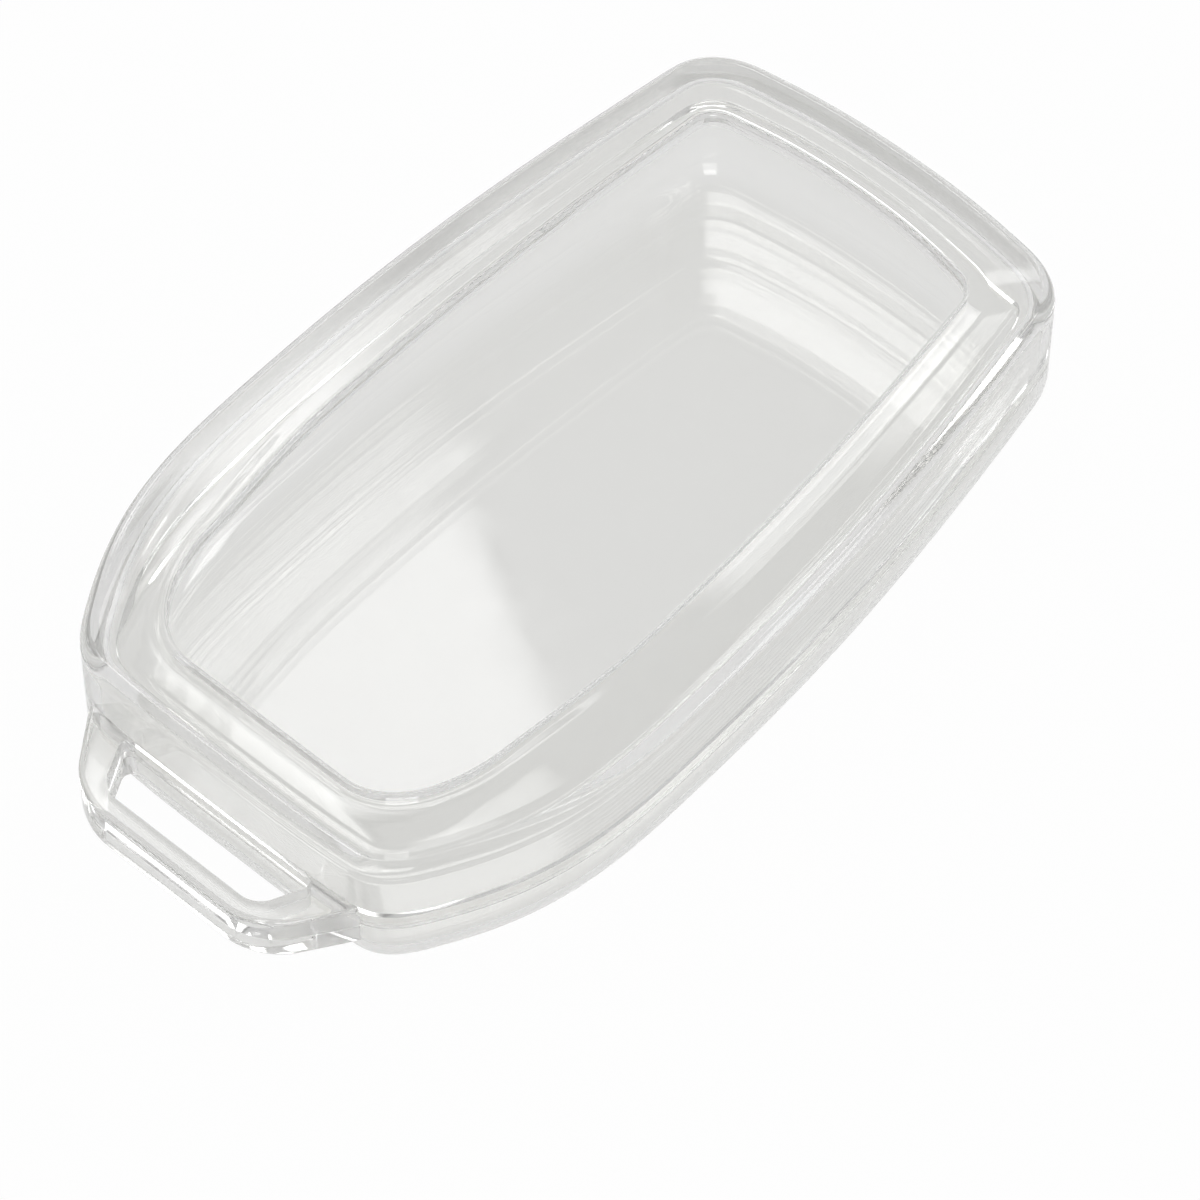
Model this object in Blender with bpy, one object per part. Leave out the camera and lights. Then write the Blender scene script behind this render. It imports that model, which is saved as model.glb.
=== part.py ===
"""Clear snap-together cover for a car key fob: a back shell, and a front shell with a window and half of the strap loop."""

import math

import bmesh
import bpy
from mathutils import Vector

# Sizes are in metres. +Y runs to the far end, +X to the right, +Z up, and the back lies on Z = 0.

# Body, seen from above
far_y = 0.0425
near_y = -0.0357
widest_y = -0.0060
half_width = 0.0230
far_half_width = 0.0192
far_bow = 0.0011
far_corner_across = 0.0056
far_corner_along = 0.0060
shoulder_half_width = 0.0184
shoulder_from_near = 0.0057
near_flat_half_width = 0.0125
near_bow = 0.0003

# Body, seen from the side
height = 0.0150
part_height = 0.0067
wall = 0.0016
floor_thickness = 0.0013
bottom_across = 0.0038
bottom_rise = 0.0048
floor_across = 0.0030
floor_rise = 0.0040
crown_round = 0.0011
frame_fall = 0.0003

# Window in the front, as the width of the frame that is left round it
frame_side = 0.0071
frame_far = 0.0065
frame_near = 0.0054
frame_far_side = 0.0058
window_far_across = 0.0018
window_far_along = 0.0018
window_near_across = 0.0070
window_near_along = 0.0096
window_taper = 0.0012
lip_thickness = 0.0016
lip_band = 0.0017
lip_fall = 0.0004
lip_edge = 0.0003

# Joint between the shells: a tongue on the back shell runs inside a rebate of the front shell
seam_gap = 0.0003
tongue_height = 0.0015
tongue_width = 0.00065

# Strap loop at the near end, half on each shell
loop_height = 0.0089
loop_bottom = 0.0044
slot_gap = 0.0045
bar_width = 0.0016
loop_root_half_width = 0.0137
loop_bar_half_width = 0.0092
loop_corner = 0.0030
slot_root_half_width = 0.0099
slot_bar_half_width = 0.0077
slot_corner = 0.0013
loop_edge = 0.0004

# How far a cutter or a buried root runs past the shape it cuts or joins
overrun = 0.0020

# How finely curves are cut: points on each stretch of an outline from the far end to the near end, and rings in a bend
stretch_points = (5, 6, 9, 9, 6, 4)
bend_rings = 6
corner_points = 5
handle_share = 0.38


def cubic(start, start_way, end, end_way, count):
    """Points of a Bezier curve, without its end point."""
    reach = (Vector(end) - Vector(start)).length * handle_share
    a = Vector(start)
    d = Vector(end)
    b = a + Vector(start_way).normalized() * reach
    c = d - Vector(end_way).normalized() * reach
    points = []
    for step in range(count):
        t = step / count
        s = 1 - t
        points.append(a * s**3 + b * 3 * s * s * t + c * 3 * s * t * t + d * t**3)
    return points


def outline(stations):
    """A closed outline, mirrored left to right, from stations of place and heading on its right half."""
    half = []
    for (start, way), (end, end_way), count in zip(stations, stations[1:], stretch_points):
        half += cubic(start, way, end, end_way, count)
    half.append(Vector(stations[-1][0]))
    left = [Vector((-p.x, p.y)) for p in reversed(half[1:-1])]
    return half + left


def offset(points, distance):
    """The outline moved outwards by a distance, or inwards where it is negative."""
    moved = []
    for i, p in enumerate(points):
        along = points[(i + 1) % len(points)] - points[i - 1]
        outward = Vector((-along.y, along.x)).normalized()
        moved.append(p + outward * distance)
    return moved


def blend(first, second, share):
    return [a.lerp(b, share) for a, b in zip(first, second)]


def body_outline():
    far_turn = Vector((1, -2 * far_bow / (far_half_width - far_corner_across)))
    side_way = Vector((half_width - far_half_width, widest_y - far_y))
    stations = [
        ((0, far_y), (1, 0)),
        ((far_half_width - far_corner_across, far_y - far_bow), far_turn),
        ((far_half_width, far_y - far_corner_along), side_way + Vector((side_way.x, 0))),
        ((half_width, widest_y), (0, -1)),
        ((shoulder_half_width, near_y + shoulder_from_near), (-1, -math.sqrt(3))),
        ((near_flat_half_width, near_y + near_bow), (-1, -3 * near_bow / near_flat_half_width)),
        ((0, near_y), (-1, 0)),
    ]
    return outline(stations)


def window_outline():
    far = far_y - frame_far
    near = near_y + frame_near
    side = half_width - frame_side
    far_side = far_half_width - frame_far_side
    far_turn = Vector((1, -2 * far_bow / (far_side - window_far_across)))
    stations = [
        ((0, far), (1, 0)),
        ((far_side - window_far_across, far - far_bow), far_turn),
        ((far_side, far - far_bow - window_far_along), (2 * (side - far_side), widest_y - far)),
        ((side, widest_y), (0, -1)),
        ((side - window_taper, near + window_near_along), (-2 * window_taper, near - widest_y)),
        ((side - window_taper - window_near_across, near), (-1, 0)),
        ((0, near), (-1, 0)),
    ]
    return outline(stations)


def loft(name, rings):
    """A closed solid through rings of (points, height), from the bottom to the top."""
    bm = bmesh.new()
    loops = []
    for points, z in rings:
        loops.append([bm.verts.new((p.x, p.y, z)) for p in points])
    for low, high in zip(loops, loops[1:]):
        for i in range(len(low)):
            # The outlines run clockwise, so this order faces out.
            bm.faces.new((low[i - 1], high[i - 1], high[i], low[i]))
    bm.faces.new(loops[0])
    bm.faces.new(reversed(loops[-1]))
    bmesh.ops.recalc_face_normals(bm, faces=bm.faces)
    return add_object(name, bm)


def add_object(name, bm):
    mesh = bpy.data.meshes.new(name)
    bm.to_mesh(mesh)
    bm.free()
    obj = bpy.data.objects.new(name, mesh)
    bpy.context.scene.collection.objects.link(obj)
    return obj


def rounded_prism(name, corners, radii, low, high, edge):
    """An upright prism whose corners are rounded, with a small round along its upper or lower rim if edge is given."""
    bm = bmesh.new()
    bottom = [bm.verts.new((x, y, low)) for x, y in corners]
    face = bm.faces.new(bottom)
    for corner, radius in zip(list(bottom), radii):
        if radius:
            bmesh.ops.bevel(bm, geom=[corner], offset=radius, segments=corner_points, profile=0.5, affect="VERTICES")
    face = bm.faces[:][0]
    made = bmesh.ops.extrude_face_region(bm, geom=[face])
    lifted = [g for g in made["geom"] if isinstance(g, bmesh.types.BMVert)]
    bmesh.ops.translate(bm, verts=lifted, vec=(0, 0, high - low))
    bmesh.ops.recalc_face_normals(bm, faces=bm.faces)
    if edge:
        level = high if edge > 0 else low
        rim = [e for e in bm.edges if all(abs(v.co.z - level) < abs(edge) / 2 for v in e.verts)]
        bmesh.ops.bevel(bm, geom=rim, offset=abs(edge), segments=2, profile=0.5, affect="EDGES")
    return add_object(name, bm)


def cutter(obj):
    obj.hide_render = True
    obj.display_type = "WIRE"
    return obj


def combine(obj, operation, tool):
    modifier = obj.modifiers.new(operation.lower() + "_" + tool.name, "BOOLEAN")
    modifier.operation = operation
    modifier.solver = "EXACT"
    modifier.object = tool


def place_at(obj, spot):
    """Puts an object's origin at a spot without moving its shape."""
    for v in obj.data.vertices:
        v.co -= Vector(spot)
    obj.location = spot


def clear_plastic(name, tint):
    """Water-clear moulded plastic with a trace of colour."""
    material = bpy.data.materials.new(name)
    material.use_nodes = True
    shader = material.node_tree.nodes["Principled BSDF"]
    shader.inputs["Base Color"].default_value = tint
    shader.inputs["Roughness"].default_value = 0.04
    shader.inputs["Metallic"].default_value = 0
    shader.inputs["IOR"].default_value = 1.49
    shader.inputs["Transmission Weight"].default_value = 1
    return material


def bend(start, end, z_start, z_end):
    """Rings of a quarter-ellipse bend that leaves the first outline upright and meets the second one level."""
    rings = []
    for step in range(bend_rings + 1):
        angle = math.pi / 2 * step / bend_rings
        level = z_start + (z_end - z_start) * math.sin(angle)
        rings.append((blend(start, end, 1 - math.cos(angle)), level))
    return rings


def loop_half(name, low, high, edge):
    """Half of the strap loop, sunk into the near wall. The cavity cut takes away what is inside."""
    root = near_y + wall + overrun
    tip = near_y - slot_gap - bar_width
    corners = [
        (-loop_root_half_width, root),
        (-loop_root_half_width, near_y + near_bow),
        (-loop_bar_half_width, tip),
        (loop_bar_half_width, tip),
        (loop_root_half_width, near_y + near_bow),
        (loop_root_half_width, root),
    ]
    return cutter(rounded_prism(name, corners, (0, 0, loop_corner, loop_corner, 0, 0), low, high, edge))


def slot_cutter():
    back = near_y
    front = near_y - slot_gap
    corners = [
        (-slot_root_half_width, back),
        (-slot_bar_half_width, front),
        (slot_bar_half_width, front),
        (slot_root_half_width, back),
    ]
    low = loop_bottom - overrun
    high = loop_height + overrun
    return cutter(rounded_prism("slot_cutter", corners, (slot_corner,) * 4, low, high, 0))


def front_cavity_cutter():
    """The space inside the front shell: rebate, upright wall, round under the crown, lip and window."""
    body = body_outline()
    window = window_outline()
    rebate = offset(body, -(wall - tongue_width - seam_gap))
    inner = offset(body, -wall)
    rebate_top = part_height + tongue_height + seam_gap
    lip_bottom = height - lip_thickness
    inner_top = lip_bottom - lip_fall - frame_fall
    rings = [
        (rebate, part_height - overrun),
        (rebate, rebate_top),
        (inner, rebate_top),
        *bend(inner, offset(inner, -crown_round), inner_top - crown_round, inner_top),
        (offset(window, lip_band), lip_bottom - lip_fall),
        (window, lip_bottom),
        (window, height - lip_edge),
        (offset(window, lip_edge + overrun), height + overrun),
    ]
    return cutter(loft("front_cavity_cutter", rings))


def back_cavity_cutter():
    """The space inside the back shell, with a round between its floor and its wall."""
    inner = offset(body_outline(), -wall)
    flat = offset(inner, -floor_across)
    floor_round = bend(inner, flat, floor_thickness + floor_rise, floor_thickness)
    rings = [*reversed(floor_round), (inner, part_height + tongue_height + overrun)]
    return cutter(loft("back_cavity_cutter", rings))


def front_shell(slot):
    body = body_outline()
    window = window_outline()
    bottom = part_height + seam_gap / 2
    crown_top = height - lip_fall - frame_fall
    rings = [
        (body, bottom),
        *bend(body, offset(body, -crown_round), crown_top - crown_round, crown_top),
        (offset(window, lip_band), height - lip_fall),
        (offset(window, 2 * lip_edge), height),
        (window, height),
    ]
    obj = loft("front_shell", rings)
    half = loop_half("front_loop_half", bottom, loop_height, loop_edge)
    combine(obj, "UNION", half)
    combine(obj, "DIFFERENCE", front_cavity_cutter())
    combine(obj, "DIFFERENCE", slot)
    place_at(obj, (0, 0, part_height))
    obj.data.materials.append(clear_plastic("front_clear_plastic", (0.97, 0.975, 0.965, 1)))
    return obj


def back_shell(slot):
    body = body_outline()
    flat = offset(body, -bottom_across)
    tongue = offset(body, -(wall - tongue_width))
    top = part_height - seam_gap / 2
    rings = [
        *reversed(bend(body, flat, bottom_rise, 0)),
        (body, top),
        (tongue, top),
        (tongue, part_height + tongue_height),
    ]
    obj = loft("back_shell", rings)
    half = loop_half("back_loop_half", loop_bottom, top, -loop_edge)
    combine(obj, "UNION", half)
    combine(obj, "DIFFERENCE", back_cavity_cutter())
    combine(obj, "DIFFERENCE", slot)
    obj.data.materials.append(clear_plastic("back_clear_plastic", (0.965, 0.97, 0.96, 1)))
    return obj


def main():
    for obj in list(bpy.data.objects):
        bpy.data.objects.remove(obj)
    slot = slot_cutter()
    for shell in (front_shell(slot), back_shell(slot)):
        shell.data.shade_smooth()
        shell.data.set_sharp_from_angle(angle=math.radians(35))


main()
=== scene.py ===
import math

import bmesh
import bpy
from mathutils import Matrix, Vector


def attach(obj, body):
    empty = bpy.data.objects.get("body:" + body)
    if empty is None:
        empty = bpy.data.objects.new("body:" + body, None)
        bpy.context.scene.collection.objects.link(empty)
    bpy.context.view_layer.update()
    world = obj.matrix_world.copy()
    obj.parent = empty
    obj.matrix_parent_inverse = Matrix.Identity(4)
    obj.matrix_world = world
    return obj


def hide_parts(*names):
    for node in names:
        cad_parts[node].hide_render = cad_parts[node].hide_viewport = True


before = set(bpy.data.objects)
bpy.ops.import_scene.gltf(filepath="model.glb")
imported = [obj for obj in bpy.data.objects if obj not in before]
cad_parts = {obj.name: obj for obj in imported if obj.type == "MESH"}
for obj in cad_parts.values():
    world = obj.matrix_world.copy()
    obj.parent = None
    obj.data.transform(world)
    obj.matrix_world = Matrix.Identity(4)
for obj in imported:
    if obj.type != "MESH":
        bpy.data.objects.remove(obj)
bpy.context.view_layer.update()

mm = 0.001             # everything below is written in millimetres and times this
startSize = 10 * mm    # of a fresh circle or plane, until its points are placed
closeEnough = 0.01 * mm   # to a level, to count as on it


def toLinear(hexCode):
    # sRGB hex to the linear colour that the shaders want
    parts = [int(hexCode[i:i + 2], 16) / 255 for i in (1, 3, 5)]
    return [p / 12.92 if p <= 0.04045 else ((p + 0.055) / 1.055) ** 2.4 for p in parts] + [1]


def addNode(tree, kind, settings=None, links=None):
    # settings are attributes or unlinked sockets, links are what feeds each socket
    node = tree.nodes.new(kind)
    for key, value in (settings or {}).items():
        if isinstance(key, str) and hasattr(node, key):
            setattr(node, key, value)
        else:
            node.inputs[key].default_value = value
    for key, source in (links or {}).items():
        tree.links.new(source, node.inputs[key])
    return node


# outlines seen from above

coverBody = {
    "farY": 42.5, "nearY": -35.7, "widestY": -6.0,
    "halfWidth": 23.0, "farHalfWidth": 19.2, "farBow": 1.1,
    "farCornerAcross": 5.6, "farCornerAlong": 6.0,
    "shoulderHalfWidth": 18.4, "shoulderFromNear": 5.7,
    "nearFlatHalfWidth": 12.5, "nearBow": 0.3,
    "smoothing": 3,   # how many times the kinks between stretches are eased
}
coverWindow = {
    "frameSide": 7.1, "frameFar": 6.5, "frameNear": 5.4, "frameFarSide": 5.8,
    "farCornerAcross": 1.8, "farCornerAlong": 1.8,
    "nearCornerAcross": 7.0, "nearCornerAlong": 9.6, "taper": 1.2,
    "smoothing": 1,
}
stretchSteps = (20, 40, 74, 64, 44, 20)   # points on each stretch, from the far end to the near end
handleReach = 0.38   # how far a bezier handle reaches along its stretch
shoulderWay = (-1, -math.sqrt(3))   # the outline's heading at the shoulder


def halfOutline(stations, smoothing):
    # bezier stretches through stations of place and heading, mirrored to the left
    half = []
    for (start, startWay), (end, endWay), steps in zip(stations, stations[1:], stretchSteps):
        a, d = Vector(start), Vector(end)
        reach = (d - a).length * handleReach
        b = a + Vector(startWay).normalized() * reach
        c = d - Vector(endWay).normalized() * reach
        for step in range(steps):
            t = step / steps
            s = 1 - t
            half.append(a * s ** 3 + b * 3 * s * s * t + c * 3 * s * t * t + d * t ** 3)
    half.append(Vector(stations[-1][0]))
    ring = half + [Vector((-p.x, p.y)) for p in reversed(half[1:-1])]
    for _ in range(smoothing):
        ring = [(ring[i - 1] + ring[i] * 2 + ring[(i + 1) % len(ring)]) / 4 for i in range(len(ring))]
    return ring


def bodyOutline():
    v = coverBody
    farTurn = (1, -2 * v["farBow"] / (v["farHalfWidth"] - v["farCornerAcross"]))
    sideWay = (2 * (v["halfWidth"] - v["farHalfWidth"]), v["widestY"] - v["farY"])
    nearTurn = (-1, -3 * v["nearBow"] / v["nearFlatHalfWidth"])
    return halfOutline([
        ((0, v["farY"]), (1, 0)),
        ((v["farHalfWidth"] - v["farCornerAcross"], v["farY"] - v["farBow"]), farTurn),
        ((v["farHalfWidth"], v["farY"] - v["farCornerAlong"]), sideWay),
        ((v["halfWidth"], v["widestY"]), (0, -1)),
        ((v["shoulderHalfWidth"], v["nearY"] + v["shoulderFromNear"]), shoulderWay),
        ((v["nearFlatHalfWidth"], v["nearY"] + v["nearBow"]), nearTurn),
        ((0, v["nearY"]), (-1, 0)),
    ], v["smoothing"])


def windowOutline():
    b, v = coverBody, coverWindow
    far = b["farY"] - v["frameFar"]
    near = b["nearY"] + v["frameNear"]
    side = b["halfWidth"] - v["frameSide"]
    farSide = b["farHalfWidth"] - v["frameFarSide"]
    farTurn = (1, -2 * b["farBow"] / (farSide - v["farCornerAcross"]))
    return halfOutline([
        ((0, far), (1, 0)),
        ((farSide - v["farCornerAcross"], far - b["farBow"]), farTurn),
        ((farSide, far - b["farBow"] - v["farCornerAlong"]), (2 * (side - farSide), b["widestY"] - far)),
        ((side, b["widestY"]), (0, -1)),
        ((side - v["taper"], near + v["nearCornerAlong"]), (-2 * v["taper"], near - b["widestY"])),
        ((side - v["taper"] - v["nearCornerAcross"], near), (-1, 0)),
        ((0, near), (-1, 0)),
    ], v["smoothing"])


def pushOut(ring, distance):
    # the outline moved outwards, or inwards by a negative distance
    moved = []
    for i, p in enumerate(ring):
        along = ring[(i + 1) % len(ring)] - ring[i - 1]
        moved.append(p + Vector((-along.y, along.x)).normalized() * distance)
    return moved


def between(first, second, share):
    return [a.lerp(b, share) for a, b in zip(first, second)]


# modelling steps that both shells use

def nothingSelected():
    if bpy.context.object and bpy.context.object.mode != "OBJECT":
        bpy.ops.object.mode_set(mode="OBJECT")
    bpy.ops.object.select_all(action="DESELECT")


def pullRings(name, rings, closed):
    # a circle is laid along the first ring, then extruded and dragged to each of the next ones
    nothingSelected()
    count = len(rings[0][0])
    bpy.ops.mesh.primitive_circle_add(vertices=count, radius=startSize)
    piece = bpy.context.object
    piece.name = piece.data.name = name
    bpy.ops.object.mode_set(mode="EDIT")
    mesh = bmesh.from_edit_mesh(piece.data)
    mesh.verts.ensure_lookup_table()
    order = {}
    for i, (p, level) in enumerate(zip(rings[0][0], levelsOf(rings[0]))):
        mesh.verts[i].co = Vector((p.x, p.y, level)) * mm
        order[tuple(mesh.verts[i].co)] = i
    bmesh.update_edit_mesh(piece.data)
    firstRing = set(order)
    bpy.ops.mesh.select_all(action="SELECT")
    for ring in rings[1:]:
        bpy.ops.mesh.extrude_region_move()
        mesh = bmesh.from_edit_mesh(piece.data)
        fresh = [(v, order[tuple(v.co)]) for v in mesh.verts if v.select]
        levels = levelsOf(ring)
        order = {}
        for v, i in fresh:
            v.co = Vector((ring[0][i].x, ring[0][i].y, levels[i])) * mm
            order[tuple(v.co)] = i
        bmesh.update_edit_mesh(piece.data)
    mesh = bmesh.from_edit_mesh(piece.data)
    if closed:   # the last ring meets the first, which closes the section
        for e in mesh.edges:
            if all(tuple(v.co) in firstRing for v in e.verts):
                e.select = True
        bmesh.update_edit_mesh(piece.data)
        bpy.ops.mesh.bridge_edge_loops()
    else:        # both ends are flat and filled
        bpy.ops.mesh.edge_face_add()
        bpy.ops.mesh.select_all(action="DESELECT")
        mesh = bmesh.from_edit_mesh(piece.data)
        for e in mesh.edges:
            e.select = all(tuple(v.co) in firstRing for v in e.verts)
        bmesh.update_edit_mesh(piece.data)
        bpy.ops.mesh.edge_face_add()
    bpy.ops.mesh.select_all(action="SELECT")
    bpy.ops.mesh.normals_make_consistent(inside=False)
    bpy.ops.object.mode_set(mode="OBJECT")
    return piece


def levelsOf(ring):
    # a ring's height is one number, or one for each of its points
    return ring[1] if isinstance(ring[1], list) else [ring[1]] * len(ring[0])


def bendRings(start, end, zStart, zEnd, steps):
    # leaves the first outline upright and meets the second one level
    rings = []
    for step in range(steps + 1):
        angle = math.pi / 2 * step / steps
        rings.append((between(start, end, 1 - math.cos(angle)), zStart + (zEnd - zStart) * math.sin(angle)))
    return rings


def applyBoolean(piece, other, operation):
    nothingSelected()
    bpy.context.view_layer.objects.active = piece
    modifier = piece.modifiers.new(operation.lower(), "BOOLEAN")
    modifier.operation = operation
    modifier.solver = "EXACT"
    modifier.object = other
    bpy.ops.object.modifier_apply(modifier=modifier.name)


def smoothByAngle(piece, degrees):
    nothingSelected()
    piece.select_set(True)
    bpy.context.view_layer.objects.active = piece
    bpy.ops.object.shade_smooth_by_angle(angle=math.radians(degrees))


# the two shells, each a section pulled round the outline: the front's is closed, the back's ends in its flat faces

shellWall = {
    "height": 15.0, "seam": 6.7, "seamGap": 0.05, "wall": 1.6, "floor": 1.3,
    "bottomAcross": 3.8, "bottomRise": 4.8, "floorAcross": 2.0, "floorRise": 2.6,
    "crownRound": 1.1, "frameFall": 0.3, "innerRound": 1.3,
    "lipThickness": 1.6, "lipBand": 1.7, "lipFall": 0.4, "lipEdge": 0.4,
    "tongueHeight": 0.9, "tongueWidth": 0.75,
    "flatBand": 0.25,     # a level band round each big flat face keeps the face's shading level
    "creaseAngle": 30,    # edges sharper than this many degrees stay crisp
}
wallSteps = {   # rings along each part of the section
    "side": 10, "bend": 14, "bottomBend": 20, "frame": 8, "edge": 6, "lipFace": 3, "ceiling": 6, "skirt": 3,
}
toolMarks = {   # the fine terraces that milling left in the mould's core
    "pitch": 0.62, "depth": 0.006, "low": 5.6, "high": 13.0, "fall": 0.045, "steps": 8,
    "smoothBelow": -26.0, "fullAbove": -14.0,   # along Y: both ends were polished flat
    "fullBelow": 27.0, "smoothAbove": 35.0,
}


def terraced(inner, level):
    # the inner wall at a height, with the terraces' shallow scallops
    v = toolMarks
    moved = []
    pushed = pushOut(inner, 1)
    for p, q in zip(inner, pushed):
        phase = (level - v["low"] - (p.y - coverBody["farY"]) * v["fall"]) / v["pitch"]
        fade = min(1, max(0, (level - v["low"]) / v["pitch"]), max(0, (v["high"] - level) / v["pitch"]))
        fade *= min(1, max(0, (p.y - v["smoothBelow"]) / (v["fullAbove"] - v["smoothBelow"])))
        fade *= min(1, max(0, (p.y - v["smoothAbove"]) / (v["fullBelow"] - v["smoothAbove"])))
        dent = (1 - abs(2 * (phase % 1) - 1)) ** 2 * v["depth"] * fade
        moved.append(p + (q - p) * dent)
    return moved


# the raised rim round the window from its foot inwards: out from the window's edge, and height
rimProfile = {
    "side": ((1.95, 14.585), (1.82, 14.596), (1.78, 14.606), (1.52, 14.68),
             (1.24, 14.76), (0.96, 14.84), (0.68, 14.92), (0.4, 15.0)),
    "near": ((1.75, 14.38), (1.35, 14.41), (1.1, 14.46), (0.98, 14.54),
             (0.72, 14.87), (0.63, 14.94), (0.53, 14.98), (0.4, 15.0)),
    "turnsFrom": -10.0, "turnsTo": -26.0,   # along Y: the low wide rim becomes a narrow upright one
}


def nearShare(point):
    v = rimProfile
    return min(1, max(0, (point.y - v["turnsFrom"]) / (v["turnsTo"] - v["turnsFrom"])))


def rimRing(window, step):
    v = rimProfile
    pushed = pushOut(window, 1)
    points, levels = [], []
    for p, q in zip(window, pushed):
        share = nearShare(p)
        out, level = (a + (b - a) * share for a, b in zip(v["side"][step], v["near"][step]))
        points.append(p + (q - p) * out)
        levels.append(level)
    return points, levels


def frontRings():
    v, steps = shellWall, wallSteps
    body, window = bodyOutline(), windowOutline()
    bottom = v["seam"] + v["seamGap"] / 2
    crownTop = v["height"] - v["lipFall"] - v["frameFall"]
    crownFoot = crownTop - v["crownRound"]
    crown = pushOut(body, -v["crownRound"])
    lipOuter = pushOut(window, v["lipBand"])
    inner = pushOut(body, -v["wall"])
    rebate = pushOut(body, -(v["wall"] - v["tongueWidth"] - v["seamGap"]))
    rebateTop = v["seam"] + v["tongueHeight"] + v["seamGap"]
    lipBottom = v["height"] - v["lipThickness"]
    ceiling = lipBottom - v["lipFall"]
    innerTop = ceiling - v["frameFall"]
    innerFoot = innerTop - v["innerRound"]
    innerCrown = pushOut(inner, -v["innerRound"])
    turns = [math.pi / 2 * s / steps["edge"] for s in range(1, steps["edge"] + 1)]

    rings = [(body, bottom)]
    for s in range(1, steps["side"]):
        rings.append((body, bottom + (crownFoot - bottom) * s / steps["side"]))
    rings += bendRings(body, crown, crownFoot, crownTop, steps["bend"])

    foot, footLevels = rimRing(window, 0)
    for s in range(1, steps["frame"] + 1):   # the frame rises a little to the rim's foot
        share = s / steps["frame"]
        levels = [crownTop + (top - crownTop) * share ** (1 + nearShare(p)) for p, top in zip(foot, footLevels)]
        rings.append((between(crown, foot, share), levels))
    rings += [rimRing(window, step) for step in range(1, len(rimProfile["side"]))]

    edge = v["lipEdge"]   # round over the lip, down its face and round under it
    for a in turns:
        rings.append((pushOut(window, edge * (1 - math.sin(a))), v["height"] - edge * (1 - math.cos(a))))
    for s in range(1, steps["lipFace"] + 1):
        rings.append((window, v["height"] - edge - (v["lipThickness"] - 2 * edge) * s / steps["lipFace"]))
    for a in turns:
        rings.append((pushOut(window, edge * (1 - math.cos(a))), lipBottom + edge * (1 - math.sin(a))))

    rings.append((lipOuter, ceiling))
    for s in range(1, steps["ceiling"] + 1):
        share = s / steps["ceiling"]
        rings.append((between(lipOuter, innerCrown, share), ceiling - v["frameFall"] * share))
    rings += bendRings(inner, innerCrown, innerFoot, innerTop, steps["bend"])[-2::-1]
    marks = round((innerFoot - rebateTop) / toolMarks["pitch"] * toolMarks["steps"])
    for s in range(1, marks):
        level = innerFoot + (rebateTop - innerFoot) * s / marks
        rings.append((terraced(inner, level), level))
    rings += [(inner, rebateTop), (rebate, rebateTop)]
    return rings


def backRings():
    v, steps = shellWall, wallSteps
    body = bodyOutline()
    flat = pushOut(body, -v["bottomAcross"])
    top = v["seam"] - v["seamGap"] / 2
    tongue = pushOut(body, -(v["wall"] - v["tongueWidth"]))
    tongueTop = v["seam"] + v["tongueHeight"]
    inner = pushOut(body, -v["wall"])
    floorFlat = pushOut(inner, -v["floorAcross"])
    floorFoot = v["floor"] + v["floorRise"]

    rings = [(pushOut(flat, -v["flatBand"]), 0)]
    rings += bendRings(body, flat, v["bottomRise"], 0, steps["bottomBend"])[::-1]
    for s in range(1, steps["skirt"] + 1):
        rings.append((body, v["bottomRise"] + (top - v["bottomRise"]) * s / steps["skirt"]))
    rings += [(tongue, top), (tongue, tongueTop), (inner, tongueTop)]
    marks = round((tongueTop - floorFoot) / toolMarks["pitch"] * toolMarks["steps"])
    for s in range(1, marks):
        level = tongueTop + (floorFoot - tongueTop) * s / marks
        rings.append((terraced(inner, level), level))
    rings += bendRings(inner, floorFlat, floorFoot, v["floor"], steps["bottomBend"])
    rings.append((pushOut(floorFlat, -v["flatBand"]), v["floor"]))
    return rings


# the strap loop, half on each shell

strapLoop = {
    "top": 8.9, "bottom": 4.4, "slotGap": 4.5, "barWidth": 1.6,
    "rootHalfWidth": 13.7, "barHalfWidth": 9.2, "corner": 3.0,
    "slotRootHalfWidth": 9.9, "slotBarHalfWidth": 7.7, "slotCorner": 1.3,
    "edge": 0.45, "sunk": 0.9, "rootFrom": 0.3, "rootIn": 0.7,   # the root goes into the wall and narrows there
    "cutPast": 2.0, "cornerSteps": 14, "edgeSteps": 5,
}


def loopBlock(name, low, high, roundedAt):
    # a plane cut to the loop's plan, its corners bevelled, then raised and its outer rim rounded
    v = strapLoop
    near = coverBody["nearY"]
    tip = near - v["slotGap"] - v["barWidth"]
    root, sunk = near + v["rootFrom"], near + v["sunk"]
    wide, bar = v["rootHalfWidth"], v["barHalfWidth"]
    plan = [(v["rootIn"] - wide, sunk), (-wide, root), (-bar, tip),
            (bar, tip), (wide, root), (wide - v["rootIn"], sunk)]
    return prism(name, plan, {2: v["corner"], 3: v["corner"]}, low, high, roundedAt, v["edge"])


def slotBlock():
    v = strapLoop
    near = coverBody["nearY"]
    barSide = near - v["slotGap"]
    wide, bar = v["slotRootHalfWidth"], v["slotBarHalfWidth"]
    plan = [(-wide, near), (-bar, barSide), (bar, barSide), (wide, near)]
    low, high = v["bottom"] - v["cutPast"], v["top"] + v["cutPast"]
    return prism("slotCut", plan, {i: v["slotCorner"] for i in range(4)}, low, high, None, 0)


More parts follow.
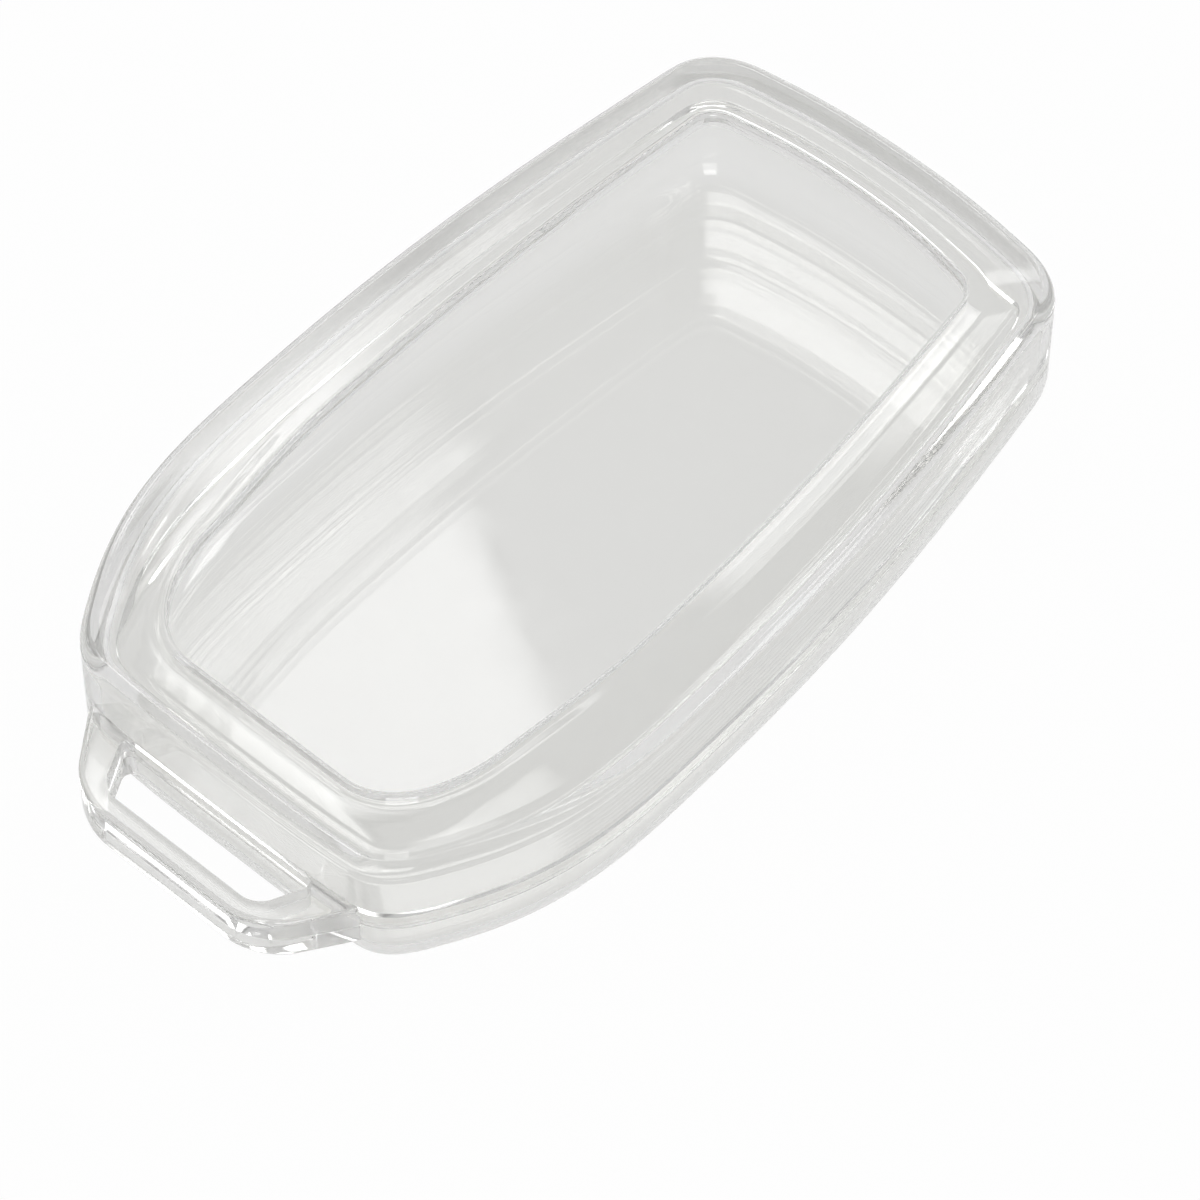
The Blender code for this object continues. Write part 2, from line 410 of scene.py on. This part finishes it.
def prism(name, plan, roundings, low, high, roundedAt, edge):
    nothingSelected()
    bpy.ops.mesh.primitive_circle_add(vertices=len(plan), radius=startSize, fill_type="NGON")
    piece = bpy.context.object
    piece.name = piece.data.name = name
    for vertex, (x, y) in zip(piece.data.vertices, plan):
        vertex.co = Vector((x, y, low)) * mm
    bpy.ops.object.mode_set(mode="EDIT")
    bpy.ops.mesh.select_mode(type="VERT")
    for i, radius in roundings.items():
        bpy.ops.mesh.select_all(action="DESELECT")
        mesh = bmesh.from_edit_mesh(piece.data)
        spot = Vector((plan[i][0], plan[i][1], low)) * mm
        min(mesh.verts, key=lambda v: (v.co - spot).length).select = True
        mesh.select_flush_mode()
        bmesh.update_edit_mesh(piece.data)
        bpy.ops.mesh.bevel(offset=radius * mm, segments=strapLoop["cornerSteps"], affect="VERTICES")
    bpy.ops.mesh.select_all(action="SELECT")
    bpy.ops.mesh.extrude_region_move(TRANSFORM_OT_translate={"value": (0, 0, (high - low) * mm)})
    bpy.ops.mesh.select_all(action="SELECT")
    bpy.ops.mesh.normals_make_consistent(inside=False)
    if roundedAt is not None:
        bpy.ops.mesh.select_mode(type="EDGE")
        bpy.ops.mesh.select_all(action="DESELECT")
        mesh = bmesh.from_edit_mesh(piece.data)
        for e in mesh.edges:
            e.select = all(abs(v.co.z - roundedAt * mm) < closeEnough for v in e.verts)
        bmesh.update_edit_mesh(piece.data)
        bpy.ops.mesh.bevel(offset=edge * mm, segments=strapLoop["edgeSteps"], affect="EDGES")
    bpy.ops.object.mode_set(mode="OBJECT")
    return piece


def addLoop(shell, low, high, roundedAt):
    half = loopBlock(shell.name + "Loop", low, high, roundedAt)
    slot = slotBlock()
    applyBoolean(half, slot, "DIFFERENCE")
    applyBoolean(shell, half, "UNION")
    for used in (half, slot):
        bpy.data.objects.remove(used)


# clear plastic

clearPlastic = {
    "tint": "#FBFBFA", "index": 1.49, "clearness": 0.96, "shadeOfShadow": "#FAFAF9",
    "waveSize": 9.0, "waveDepth": 0.010, "waveShare": 0.35, "waveDetail": 1.0,   # the flow's slight waviness
    "roughness": 0.035, "hazeSize": 3.0, "hazeDetail": 4.0, "hazeFrom": 0.35, "hazeTo": 0.75,
    "soaked": "#0A0A00", "soakedPerMetre": 16.0,
    "bentBounces": 4.5,   # faces that bend a ray before it runs straight on
}


def mouldedClearPlastic(name, tint):
    # water-clear injection-moulded PMMA: glossy faces, a little flow waviness, a trace of warm grey in thick places
    v = clearPlastic
    material = bpy.data.materials.new(name)
    material.use_nodes = True
    tree = material.node_tree
    tree.nodes.clear()

    place = addNode(tree, "ShaderNodeTexCoord").outputs["Object"]
    flow = addNode(tree, "ShaderNodeTexNoise", {
        "Scale": 1 / (v["waveSize"] * mm), "Detail": v["waveDetail"],
    }, {"Vector": place})
    bump = addNode(tree, "ShaderNodeBump", {
        "Strength": v["waveShare"], "Distance": v["waveDepth"] * mm,
    }, {"Height": flow.outputs["Fac"]})
    handled = addNode(tree, "ShaderNodeTexNoise", {
        "Scale": 1 / (v["hazeSize"] * mm), "Detail": v["hazeDetail"],
    }, {"Vector": place})
    haze = addNode(tree, "ShaderNodeMapRange", {
        "From Min": v["hazeFrom"], "From Max": v["hazeTo"],
        "To Min": v["roughness"] / 2, "To Max": v["roughness"] * 2,
    }, {"Value": handled.outputs["Fac"]})

    plastic = addNode(tree, "ShaderNodeBsdfPrincipled", {
        "Base Color": toLinear(tint), "IOR": v["index"], "Transmission Weight": v["clearness"],
    }, {"Roughness": haze.outputs["Result"], "Normal": bump.outputs["Normal"]})
    # light bends at the first few faces it meets and then runs straight on, so none is caught inside for good
    straight = addNode(tree, "ShaderNodeBsdfPrincipled", {
        "Base Color": toLinear(tint), "IOR": 1.0, "Transmission Weight": v["clearness"], "Roughness": v["roughness"],
    })
    # lamps shine through it, so it throws only a pale shadow
    through = addNode(tree, "ShaderNodeBsdfTransparent", {"Color": toLinear(v["shadeOfShadow"])})

    path = addNode(tree, "ShaderNodeLightPath")
    later = addNode(tree, "ShaderNodeMath", {
        "operation": "GREATER_THAN", 1: v["bentBounces"],
    }, {0: path.outputs["Ray Depth"]})
    deep = addNode(tree, "ShaderNodeMixShader", None, {
        0: later.outputs[0], 1: plastic.outputs[0], 2: straight.outputs[0],
    })
    lit = addNode(tree, "ShaderNodeMixShader", None, {
        0: path.outputs["Is Shadow Ray"], 1: deep.outputs[0], 2: through.outputs[0],
    })
    surface = addNode(tree, "ShaderNodeMixShader", None, {
        0: path.outputs["Is Diffuse Ray"], 1: lit.outputs[0], 2: through.outputs[0],
    })
    # long ways inside the walls end a little darker
    body = addNode(tree, "ShaderNodeVolumeAbsorption", {
        "Color": toLinear(v["soaked"]), "Density": v["soakedPerMetre"],
    })
    addNode(tree, "ShaderNodeOutputMaterial", None, {"Surface": surface.outputs[0], "Volume": body.outputs[0]})
    return material


# floor, light and camera

paperFloor = {
    "size": 3000, "below": 0.05, "colour": "#E6E6E6",
    "glowDirect": 0.96, "glowThrough": 0.38,   # how white it shows itself, and how white through the plastic
}


def whiteFloor():
    v = paperFloor
    nothingSelected()
    bpy.ops.mesh.primitive_plane_add(size=v["size"] * mm, location=(0, 0, -v["below"] * mm))
    floor = bpy.context.object
    floor.name = "paperFloor"
    material = bpy.data.materials.new("white_paper")
    material.use_nodes = True
    tree = material.node_tree
    tree.nodes.clear()
    paper = addNode(tree, "ShaderNodeBsdfDiffuse", {"Color": toLinear(v["colour"])})
    white = addNode(tree, "ShaderNodeEmission", {"Color": (1, 1, 1, 1), "Strength": 1.0})
    path = addNode(tree, "ShaderNodeLightPath")
    direct = addNode(tree, "ShaderNodeMath", {
        "operation": "MULTIPLY", 1: v["glowDirect"],
    }, {0: path.outputs["Is Camera Ray"]})
    mirrored = addNode(tree, "ShaderNodeMath", {"operation": "MAXIMUM"}, {
        0: path.outputs["Is Glossy Ray"], 1: path.outputs["Is Transmission Ray"],
    })
    share = addNode(tree, "ShaderNodeMath", {
        "operation": "MULTIPLY_ADD", 1: v["glowThrough"],
    }, {0: mirrored.outputs[0], 2: direct.outputs[0]})
    surface = addNode(tree, "ShaderNodeMixShader", None, {
        0: share.outputs[0], 1: paper.outputs[0], 2: white.outputs[0],
    })
    addNode(tree, "ShaderNodeOutputMaterial", None, {"Surface": surface.outputs[0]})
    floor.data.materials.append(material)


room = {"overhead": 0.55, "horizon": 0.85, "overheadFrom": 0.8}   # how bright the room is as the cover sees it


def paleWorld():
    # white where the camera looks straight at it, dimmer as the cover sees it, most of all overhead
    v = room
    world = bpy.data.worlds.new("studio")
    world.use_nodes = True
    tree = world.node_tree
    tree.nodes.clear()
    way = addNode(tree, "ShaderNodeTexCoord").outputs["Generated"]
    height = addNode(tree, "ShaderNodeSeparateXYZ", None, {0: way}).outputs["Z"]
    glow = addNode(tree, "ShaderNodeMapRange", {
        "From Min": 0.0, "From Max": v["overheadFrom"], "To Min": v["horizon"], "To Max": v["overhead"],
    }, {"Value": height})
    walls = addNode(tree, "ShaderNodeBackground", {"Color": (1, 1, 1, 1)}, {"Strength": glow.outputs["Result"]})
    white = addNode(tree, "ShaderNodeBackground", {"Color": (1, 1, 1, 1), "Strength": 1.0})
    path = addNode(tree, "ShaderNodeLightPath")
    surface = addNode(tree, "ShaderNodeMixShader", None, {
        0: path.outputs["Is Camera Ray"], 1: walls.outputs[0], 2: white.outputs[0],
    })
    addNode(tree, "ShaderNodeOutputWorld", None, {"Surface": surface.outputs[0]})
    bpy.context.scene.world = world


panelLevel = 600
panels = (   # name, corners seen from above, brightness, and the share of the width that fades at each edge
    ("nearSoftbox", ((-352, 228), (-215, 228), (-352, 345), (-215, 270)), 3.0, 0.06),
    ("leftSoftbox", ((-560, 200), (-360, 235), (-560, 425), (-360, 350)), 3.9, 0.25),
    ("outerSoftbox", ((-1150, 180), (-560, 180), (-1150, 600), (-560, 560)), 3.6, 0.15),
    ("rightSoftbox", ((230, 300), (1300, 590), (230, 420), (1300, 800)), 4.0, 0.15),
    ("farSoftbox", ((-325, 384), (-195, 384), (-395, 532), (-205, 532)), 4.0, 0.09),
    ("crownSoftbox", ((-470, 592), (-280, 592), (-480, 740), (-290, 740)), 3.8, 0.07),
    ("lowSoftbox", ((-420, 10), (-110, 10), (-420, 200), (-110, 200)), 4.5, 0.35),
    ("bandSoftbox", ((-30, 288), (130, 288), (-40, 450), (120, 450)), 4.2, 0.15),
)


def softbox(name, corners, brightness, softEdge):
    # a glowing panel hung level
    nothingSelected()
    bpy.ops.mesh.primitive_plane_add(size=startSize)
    panel = bpy.context.object
    panel.name = panel.data.name = name
    for vertex, (x, y) in zip(panel.data.vertices, corners):
        vertex.co = Vector((x, y, panelLevel)) * mm
    material = bpy.data.materials.new(name)
    material.use_nodes = True
    tree = material.node_tree
    tree.nodes.clear()
    place = addNode(tree, "ShaderNodeTexCoord").outputs["UV"]
    spot = addNode(tree, "ShaderNodeSeparateXYZ", None, {0: place})
    fades = []
    for axis in ("X", "Y"):   # bright in the middle, fading at the edges as cloth over a lamp does
        middle = addNode(tree, "ShaderNodeMath", {"operation": "SUBTRACT", 1: 0.5}, {0: spot.outputs[axis]})
        aside = addNode(tree, "ShaderNodeMath", {"operation": "ABSOLUTE"}, {0: middle.outputs[0]})
        fade = addNode(tree, "ShaderNodeMapRange", {
            "interpolation_type": "SMOOTHSTEP", "From Min": 0.5, "From Max": 0.5 - softEdge,
            "To Min": 0.0, "To Max": math.sqrt(brightness),
        }, {"Value": aside.outputs[0]})
        fades.append(fade.outputs["Result"])
    strength = addNode(tree, "ShaderNodeMath", {"operation": "MULTIPLY"}, {0: fades[0], 1: fades[1]})
    glow = addNode(tree, "ShaderNodeEmission", {"Color": (1, 1, 1, 1)}, {"Strength": strength.outputs[0]})
    addNode(tree, "ShaderNodeOutputMaterial", None, {"Surface": glow.outputs[0]})
    panel.data.materials.append(material)


sideLight = {"spot": (420, -420, 420), "aim": (0, 0, 0), "size": 300, "power": 1.0}


def softLight():
    v = sideLight
    light = bpy.data.lights.new("sideSoftbox", "AREA")
    light.shape = "RECTANGLE"
    light.size = light.size_y = v["size"] * mm
    light.energy = v["power"]
    lamp = bpy.data.objects.new("sideSoftbox", light)
    bpy.context.scene.collection.objects.link(lamp)
    lamp.location = Vector(v["spot"]) * mm
    lamp.rotation_euler = (Vector(v["aim"]) * mm - lamp.location).to_track_quat("-Z", "Y").to_euler()


cameraPlace = {   # degrees round the object, above the floor and about its own axis
    "azimuth": 41.24, "elevation": 54.93, "roll": 0.29, "distance": 489.7,
    "target": (4.41, 1.59, 0.0), "lens": 190.7, "filmWidth": 36, "clipStart": 10,
}


def photoCamera():
    v = cameraPlace
    azimuth, elevation, roll = (math.radians(v[k]) for k in ("azimuth", "elevation", "roll"))
    level = math.cos(elevation)
    back = Vector((math.sin(azimuth) * level, -math.cos(azimuth) * level, math.sin(elevation)))
    right = Vector((math.cos(azimuth), math.sin(azimuth), 0))
    up = back.cross(right)
    right, up = right * math.cos(roll) + up * math.sin(roll), up * math.cos(roll) - right * math.sin(roll)
    data = bpy.data.cameras.new("photoCamera")
    data.lens = v["lens"]
    data.sensor_width = v["filmWidth"]
    data.clip_start = v["clipStart"] * mm
    camera = bpy.data.objects.new("photoCamera", data)
    bpy.context.scene.collection.objects.link(camera)
    place = Matrix.Translation((Vector(v["target"]) + back * v["distance"]) * mm)
    camera.matrix_world = place @ Matrix((right, up, back)).transposed().to_4x4()
    bpy.context.scene.camera = camera


lightBounces = 20   # light runs far inside clear walls before it comes out

photoCamera()
bpy.context.scene.view_settings.view_transform = "Standard"
for kind in ("max_bounces", "glossy_bounces", "transmission_bounces"):
    setattr(bpy.context.scene.cycles, kind, lightBounces)
print("camera and view set")

whiteFloor()
paleWorld()
for panel in panels:
    softbox(*panel)
softLight()
print("stage and light set")

gap = shellWall["seamGap"] / 2
front = pullRings("frontShell", frontRings(), True)
addLoop(front, shellWall["seam"] + gap, strapLoop["top"], strapLoop["top"])
print("front shell made", len(front.data.polygons))

back = pullRings("backShell", backRings(), False)
addLoop(back, strapLoop["bottom"], shellWall["seam"] - gap, strapLoop["bottom"])
print("back shell made", len(back.data.polygons))

for shell, node, body, slot in ((front, "front_shell", "front", "front_clear_plastic"),
                                (back, "back_shell", "back", "back_clear_plastic")):
    smoothByAngle(shell, shellWall["creaseAngle"])
    shell.data.materials.clear()
    shell.data.materials.append(mouldedClearPlastic(slot, clearPlastic["tint"]))
    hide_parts(node)
    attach(shell, body)
print("shells finished")
